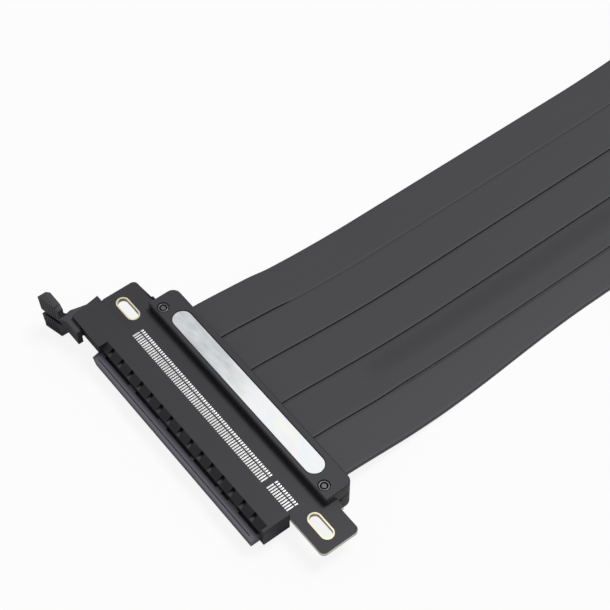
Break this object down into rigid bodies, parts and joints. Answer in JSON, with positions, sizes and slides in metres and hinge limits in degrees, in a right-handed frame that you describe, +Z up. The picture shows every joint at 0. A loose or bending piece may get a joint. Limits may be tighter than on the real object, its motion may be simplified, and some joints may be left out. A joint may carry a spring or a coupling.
{
  "type": "gpu riser cable",
  "caption": "Flexible riser cable: a latched card slot on a small board, flat cable strips held by a screwed clamp, and an edge connector board at the far end.",
  "frame": {"origin": "on the table, under the middle of the slot end's box, without the cable and the far end", "axes": "+X along the slot from the latch to the key, +Y from the slot along the cable to the far end, +Z up"},
  "size_m": [0.1306, 0.3058, 0.0154],
  "materials": {
    "board": "satin black solder mask on glass fibre board",
    "plating": "thin gold plating",
    "slot_plastic": "matte moulded",
    "contacts": "tinned and soldered",
    "cover_plastic": "fine matte texture",
    "label_foil": "bare pearly foil",
    "screw_steel": "black oxide",
    "cable_jacket": "matte extruded jacket"
  },
  "bodies": {
    "riser": {"slot_board": "board", "mount_rim_latch_side": "plating", "mount_rim_key_side": "plating", "slot_housing": "slot_plastic", "upper_contacts_long": "contacts", "upper_contacts_short": "contacts", "lower_contacts_long": "contacts", "lower_contacts_short": "contacts", "clamp_top_cover": "cover_plastic", "clamp_bottom_cover": "cover_plastic", "clamp_label": "label_foil", "clamp_screw_latch_side": "screw_steel", "clamp_screw_key_side": "screw_steel", "cable_strip_1": "cable_jacket", "cable_strip_2": "cable_jacket", "cable_strip_3": "cable_jacket", "cable_strip_4": "cable_jacket", "cable_strip_5": "cable_jacket", "plug_board": "board", "plug_top_cover": "cover_plastic", "plug_bottom_cover": "cover_plastic", "plug_screw_left": "screw_steel", "plug_screw_right": "screw_steel"},
    "latch": {"card_latch": "slot_plastic"}
  },
  "joints": [
    {"name": "latch_hinge", "type": "hinge", "parent": "riser", "child": "latch", "pos_m": [-0.0521, -0.0062, 0.008], "axis": [0, 0, -1], "range_deg": [0, 30]}
  ]
}
